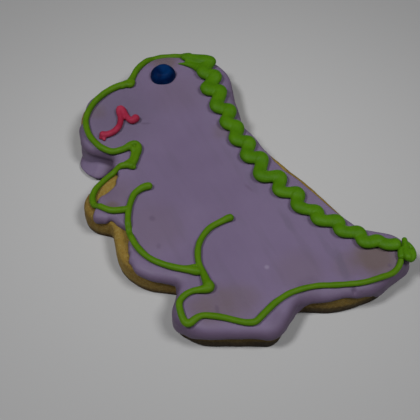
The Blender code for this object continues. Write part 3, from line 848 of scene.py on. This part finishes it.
def surface_of(*pieces):
    """A function that gives the height in mm of the pieces' top skin over a place."""
    trees = []
    for piece in pieces:
        mesh = piece.data
        corners = [vertex.co / MM for vertex in mesh.vertices]
        trees.append(BVHTree.FromPolygons(corners, [face.vertices for face in mesh.polygons]))

    def height(x, y):
        found = [tree.ray_cast(Vector((x, y, ABOVE)), Vector((0, 0, -1)))[0] for tree in trees]
        return max((hit.z for hit in found if hit is not None), default=DOUGH_HEIGHT)

    return height


def make_lines(name, strokes, fills, surface, material, slot, *nodes):
    skin = Skin()
    for stroke in strokes:
        add_stroke(skin, stroke, surface)
    for stroke in fills:
        add_stroke(skin, stroke, surface, layers=[])
    points, faces = fuse(skin)
    return make_piece(name, points, faces, material, slot, *nodes)


def make_ridge(surface, material):
    """The zigzag: a thick line that swells where it turns, and the strokes on the crown that lead to it."""
    skin = Skin()
    last = len(RIDGE_TURNS) - 1
    turns = [(x, y, RIDGE_HALF * (1 - RIDGE_TAPER * i / last)) for i, (x, y) in enumerate(RIDGE_TURNS)]
    path = smooth_path(turns)
    gaps = nearest_distance(path[:, :2], np.array(RIDGE_TURNS))
    wave, swell = [more * (np.exp(-(gaps / reach) ** 2) - less)
                   for more, reach, less in (RIDGE_WAVE, RIDGE_SWELL)]
    path[:, 2] *= 1 + swell
    path[:, 2] *= [1 + ripples((x, y), RIDGE_WIDTH_RIPPLES) for x, y, _ in path]
    heights = running_mean([surface(x, y) for x, y, _ in path], RIDGE_EASE) + RIDGE_RISE + wave
    heights += [ripples((x, y), RIDGE_HEIGHT_RIPPLES) for x, y, _ in path]
    add_tube(skin, path, heights, RIDGE_FLAT)
    for stroke in CROWN_STROKES:
        add_stroke(skin, stroke, surface, CROWN_FLAT, CROWN_RISE, CROWN_LIFT)
    points, faces = fuse(skin)
    return make_piece("back_ridge_piping", points, faces, material, "green_icing", "back_ridge")


def make_blob(surface, material):
    skin = Skin()
    base = surface(*EDGE_OF_TAIL)
    for lift, stroke in BLOB_STROKES:
        path = smooth_path(stroke)
        add_tube(skin, path, base + lift + path[:, 2] * BLOB_RISE, 1.0)
    points, faces = fuse(skin)
    return make_piece("tail_blob_piping", points, faces, material, "green_icing", "tail_blob")


def make_eye(surface, material):
    """A dab that was let go with a twist: a low dome with a rim and an off-centre dimple."""
    skin = Skin()
    middle_x, middle_y = EYE_PLACE
    foot = surface(middle_x, middle_y) - EYE_SINK
    oval, turn = EYE_OVAL

    def place(dx, dy, lean):
        height = (EYE_HEIGHT + EYE_SINK) * eye_rise(dx, dy, lean)
        return Vector((middle_x + dx, middle_y + dy, foot + height))

    rings = []
    for level in range(EYE_RINGS):
        lean = math.pi / 2 * level / EYE_RINGS
        ring = []
        for k in range(EYE_SIDES):
            angle = -2 * math.pi * k / EYE_SIDES
            radius = EYE_RADIUS * (1 + oval * math.sin(2 * angle + turn) + EYE_LUMPS * math.sin(5 * angle))
            reach = radius * math.sqrt(math.cos(lean))
            ring.append(place(reach * math.cos(angle), reach * math.sin(angle), lean))
        rings.append(skin.ring(ring))
    for lower, upper in zip(rings, rings[1:]):
        skin.bridge(lower, upper)
    skin.faces.append(tuple(rings[0]))
    tip, = skin.ring([place(0.0, 0.0, math.pi / 2)])
    for k in range(EYE_SIDES):
        skin.faces.append((rings[-1][(k + 1) % EYE_SIDES], rings[-1][k], tip))
    return make_piece("eye_dab", skin.points, skin.faces, material, "blue_icing", "eye")


def eye_rise(dx, dy, lean):
    """Height of the eye's skin against that of the whole dab."""
    x, y, radius, depth = EYE_DIMPLE
    dimple = depth * bell((dx, dy), x, y, radius)
    x, y, radius, width, height = EYE_RIM
    rim = height * math.exp(-((math.hypot(dx - x, dy - y) - radius) / width) ** 2)
    return math.sin(lean) - dimple + rim


# ======== materials
class Look:
    """A Principled material and short ways to add nodes to it. Object coordinates are turned to mm."""

    def __init__(self, name, roughness, specular):
        self.material = bpy.data.materials.new(name)
        self.material.use_nodes = True
        self.tree = self.material.node_tree
        self.shader = self.tree.nodes["Principled BSDF"]
        self.feed(self.shader, {"Roughness": roughness, "Specular IOR Level": specular})
        coordinates = self.node("ShaderNodeTexCoord")
        self.place = self.maths_vector("SCALE", coordinates.outputs["Object"], 1 / MM)
        self.rag = None

    def feed(self, node, inputs):
        """Gives a node's inputs their values, or links them to other nodes' outputs."""
        for key, value in inputs.items():
            socket = node.inputs[key]
            if isinstance(value, bpy.types.NodeSocket):
                self.tree.links.new(value, socket)
            else:
                socket.default_value = (*value, 1.0) if socket.type == "RGBA" else value

    def node(self, kind, inputs=None, **settings):
        made = self.tree.nodes.new(kind)
        for key, value in settings.items():
            setattr(made, key, value)
        self.feed(made, inputs or {})
        return made

    def soften(self, weight, radius, scale):
        """Lets light a little way into the sugar; the scale is in mm."""
        self.feed(self.shader, {"Subsurface Weight": weight, "Subsurface Radius": radius,
                                "Subsurface Scale": scale * MM})

    def maths_vector(self, operation, a, b):
        inputs = {0: a, "Scale" if operation == "SCALE" else 1: b}
        made = self.node("ShaderNodeVectorMath", inputs, operation=operation)
        return made.outputs["Value" if operation in ("DISTANCE", "LENGTH") else "Vector"]

    def maths(self, operation, a, b):
        return self.node("ShaderNodeMath", {0: a, 1: b}, operation=operation).outputs[0]

    def mapped(self, location, turn, scale):
        """The place told in a box of this scale that is turned about the upright."""
        inputs = {"Vector": self.place, "Location": location, "Rotation": (0.0, 0.0, turn), "Scale": scale}
        return self.node("ShaderNodeMapping", inputs, vector_type="TEXTURE").outputs[0]

    def noise(self, size, detail, rough=0.5, where=None):
        inputs = {"Vector": where or self.place, "Scale": 1.0 / size, "Detail": detail, "Roughness": rough}
        return self.node("ShaderNodeTexNoise", inputs).outputs[0]

    def cells(self, size):
        made = self.node("ShaderNodeTexVoronoi", {"Vector": self.place, "Scale": 1.0 / size})
        return made.outputs["Distance"]

    def ramp(self, value, low, high, to_low=0.0, to_high=1.0):
        inputs = {"Value": value, "From Min": low, "From Max": high, "To Min": to_low, "To Max": to_high}
        return self.node("ShaderNodeMapRange", inputs, interpolation_type="SMOOTHSTEP").outputs[0]

    def mix(self, factor, a, b):
        return self.node("ShaderNodeMix", {"Factor": factor, 6: a, 7: b}, data_type="RGBA").outputs[2]

    def tint(self, colour, mask, strength, other):
        """The colour with some of another where the mask is 1."""
        return self.mix(self.maths("MULTIPLY", mask, strength), colour, other)

    def spot(self, centre, radius, soft, ragged=0.0):
        """1 at the centre of a round patch, falling to 0 past its radius."""
        away = self.maths_vector("DISTANCE", self.place, centre)
        if ragged:
            away = self.maths("ADD", away, self.maths("MULTIPLY", self.ragged_noise(), ragged))
        return self.ramp(away, radius + soft, radius - soft)

    def oval(self, centre, along, across, turn, soft):
        """1 inside an oval whose long axis is turned from +Y, falling to 0 over its soft edge."""
        place = self.mapped((*centre, TOP), turn, (across, along, across + along))
        away = self.maths_vector("LENGTH", place, (0.0, 0.0, 0.0))
        away = self.maths("ADD", away, self.maths("MULTIPLY", self.ragged_noise(), OVAL_RAGGED))
        return self.ramp(away, 1.0 + soft, 1.0 - soft)

    def ragged_noise(self):
        if self.rag is None:
            self.rag = self.maths("SUBTRACT", self.noise(4.0, 3.0), 0.5)
        return self.rag

    def height_of_place(self):
        return self.node("ShaderNodeSeparateXYZ", {0: self.place}).outputs[2]

    def bump(self, height, depth, under=None):
        inputs = {"Height": height, "Distance": depth * MM, "Strength": 1.0}
        if under is not None:
            inputs["Normal"] = under
        return self.node("ShaderNodeBump", inputs).outputs[0]

    def finish(self, colour, **inputs):
        self.feed(self.shader, {"Base Color": colour, **inputs})
        return self.material


def dough_look():
    look = Look("baked_dough", 0.85, 0.25)
    broad = look.noise(9.0, 4.0)
    grain = look.noise(0.9, 5.0, 0.65)
    colour = look.mix(look.ramp(broad, 0.35, 0.65), DOUGH_BASE, DOUGH_DEEP)
    colour = look.mix(look.ramp(grain, 0.45, 0.75), colour, DOUGH_PALE)
    colour = look.tint(colour, look.ramp(look.cells(1.1), 0.28, 0.05), 0.55, DOUGH_PORE)
    height = look.maths("ADD", look.height_of_place(), look.maths("MULTIPLY", grain, 1.6))
    # Partly baked browning and partly painted shade: darker towards the foot, and on the listed stretches of
    # wall.
    colour = look.tint(colour, look.ramp(height, *BROWNED_AND_SHADE_HEIGHTS), 0.85, BROWNED_AND_SHADE)
    for x, y, radius, strength in BROWNED_AND_SHADED_WALLS:
        wall = look.spot((x, y, 1.5), radius, radius * 0.5, SPOT_RAGGED)
        colour = look.tint(colour, wall, strength, BROWNED_AND_SHADE)
    # Painted shade, with some scorching, at the foot of the listed walls.
    foot = look.ramp(height, *SCORCHED_AND_SHADE_HEIGHTS)
    for x, y, radius in SCORCHED_AND_SHADED_FEET:
        wall = look.spot((x, y, 1.0), radius, radius * 0.4, SPOT_RAGGED)
        colour = look.tint(colour, look.maths("MULTIPLY", wall, foot), SCORCH_AND_SHADE_STRENGTH, SCORCHED_AND_SHADE)
    normal = look.bump(grain, 0.25)
    normal = look.bump(look.ramp(look.cells(0.8), 0.0, 0.4), 0.12, normal)
    return look.finish(colour, Roughness=look.ramp(grain, 0.3, 0.7, 0.9, 0.75), Normal=normal)


def icing_look():
    look = Look("lilac_royal_icing", 0.5, 0.15)
    look.soften(0.15, (1.0, 0.7, 0.9), 1.2)
    turn = math.radians(STREAK_TURN)
    broad = look.noise(17.0, 2.0, 0.45)
    colour = look.mix(look.ramp(broad, 0.3, 0.7), ICING_BASE, ICING_PALE)
    streaks = look.noise(3.2, 3.0, where=look.mapped((7.0, 7.0, 7.0), turn, (1.0, 7.0, 1.0)))
    colour = look.mix(look.ramp(streaks, 0.5, 0.75, 0.0, 0.28), colour, ICING_GREY)
    x, y, radius, soft, strength = SNOUT_PATCH
    colour = look.tint(colour, look.spot((x, y, TOP), radius, soft, 2 * SPOT_RAGGED), strength, ICING_GREY)
    for x, y, radius, strength in THIN_PATCHES:
        patch = look.spot((x, y, TOP), radius, radius * 0.6, SPOT_RAGGED)
        colour = look.tint(colour, patch, strength, ICING_WARM)
    # Streaks and smears, with the painted shade that is listed among them.
    for ovals, soft, other in ((STREAKS_AND_NAPE_SHADE, 0.5, ICING_BLUE), (SMEARS_AND_SHADE, 0.6, ICING_DARK)):
        for x, y, along, across, lean, strength in ovals:
            oval = look.oval((x, y), along, across, math.radians(lean), soft)
            colour = look.tint(colour, oval, strength, other)
    # Painted shade: the icing darkens down its walls, but not on the pool under the chin.
    low = look.ramp(look.height_of_place(), *WALL_SHADE_HEIGHTS)
    pool = look.spot(*POOL_SPOT)
    low = look.maths("MULTIPLY", low, look.maths("SUBTRACT", 1.0, pool))
    colour = look.mix(low, colour, ICING_WALL_SHADE)
    x, y, radius, soft, strength = BUBBLE
    colour = look.tint(colour, look.spot((x, y, TOP), radius, soft), strength, BUBBLE_PALE)
    fine = look.noise(0.5, 3.0, 0.6)
    waves = look.noise(2.2, 2.0, where=look.mapped((0.0, 0.0, 0.0), turn, (1.0, 3.3, 1.0)))
    normal = look.bump(fine, 0.015, look.bump(waves, 0.06))
    return look.finish(colour, Roughness=look.ramp(broad, 0.3, 0.7, 0.46, 0.56), Normal=normal)


def piped_look(name, colours, subsurface=0.12, specular=0.1):
    base, pale, deep = colours
    look = Look(name, 0.5, specular)
    look.soften(subsurface, (0.8, 1.0, 0.4), 0.8)
    broad = look.noise(4.0, 3.0)
    fine = look.noise(0.7, 3.0, 0.6)
    colour = look.mix(look.ramp(broad, 0.35, 0.7), base, pale)
    colour = look.mix(look.ramp(fine, 0.55, 0.8, 0.0, 0.35), colour, deep)
    normal = look.bump(look.noise(0.9, 2.0), 0.05)
    return look.finish(colour, Roughness=look.ramp(fine, 0.3, 0.7, 0.44, 0.56), Normal=normal)


# ======== stage
def aim(thing, target):
    direction = Vector(target) - thing.location
    thing.rotation_euler = direction.to_track_quat("-Z", "Y").to_euler()


def make_camera():
    data = bpy.data.cameras.new("photo_view")
    data.lens = LENS
    data.sensor_width = SENSOR
    data.clip_start = NEAREST
    camera = bpy.data.objects.new("photo_view", data)
    target = Vector(VIEW_TARGET) * MM
    away = Vector((0.0, -math.cos(VIEW_HEIGHT), math.sin(VIEW_HEIGHT)))
    camera.location = target + away * (VIEW_DISTANCE * MM)
    aim(camera, target)
    bpy.context.scene.collection.objects.link(camera)
    bpy.context.scene.camera = camera


def add_light(name, place, size, power):
    data = bpy.data.lights.new(name, "AREA")
    data.shape = "DISK"
    data.size = size
    data.energy = power
    light = bpy.data.objects.new(name, data)
    light.location = place
    aim(light, (0.0, 0.0, 0.0))
    bpy.context.scene.collection.objects.link(light)


def make_stage():
    look = Look("pale_table", 0.7, 0.1)
    # Painted pool of light: the table is paler in the middle and dimmer towards its edges.
    look.finish(look.mix(look.spot(*LIGHT_POOL), TABLE_DIM_EDGE, TABLE_LIT_MIDDLE))
    mesh = bpy.data.meshes.new("table")
    corners = [(x * TABLE_HALF, y * TABLE_HALF, 0) for x, y in ((-1, -1), (1, -1), (1, 1), (-1, 1))]
    mesh.from_pydata(corners, [], [(0, 1, 2, 3)])
    mesh.materials.append(look.material)
    table = bpy.data.objects.new("table", mesh)
    bpy.context.scene.collection.objects.link(table)
    world = bpy.data.worlds.new("room")
    world.use_nodes = True
    background = world.node_tree.nodes["Background"]
    background.inputs["Color"].default_value = (1.0, 1.0, 1.0, 1.0)
    background.inputs["Strength"].default_value = ROOM_LIGHT
    bpy.context.scene.world = world
    for lamp in LAMPS:
        add_light(*lamp)
    bpy.context.scene.view_settings.view_transform = "Standard"


def build():
    samples = cutter_outline()
    runs = runs_round(samples)
    edge = strayed(samples)
    biscuit = make_biscuit(edge, dough_look())
    icing = make_icing(edge, runs, icing_look())
    surface = surface_of(biscuit, icing)
    green = piped_look("green_piping", GREEN)
    leaf = piped_look("ridge_piping", LEAF)
    pink = piped_look("pink_piping", PINK)
    blue = piped_look("blue_piping", BLUE, 0.0, 0.03)
    make_lines("head_and_arm_piping", [HEAD_STROKE], HEAD_FILLS, surface, green, "green_icing",
               "head_line", "arm_line")
    make_lines("belly_piping", [BELLY_STROKE], [], surface, green, "green_icing", "belly_line")
    make_lines("leg_and_foot_piping", [LEG_STROKE, FOOT_STROKE], LEG_FILLS, surface, green, "green_icing",
               "leg_line", "foot_line")
    make_lines("mouth_piping", [MOUTH_STROKE], MOUTH_FILLS, surface, pink, "pink_icing", "mouth_line")
    make_ridge(surface, leaf)
    make_blob(surface, leaf)
    make_eye(surface, blue)
    make_camera()
    make_stage()


build()
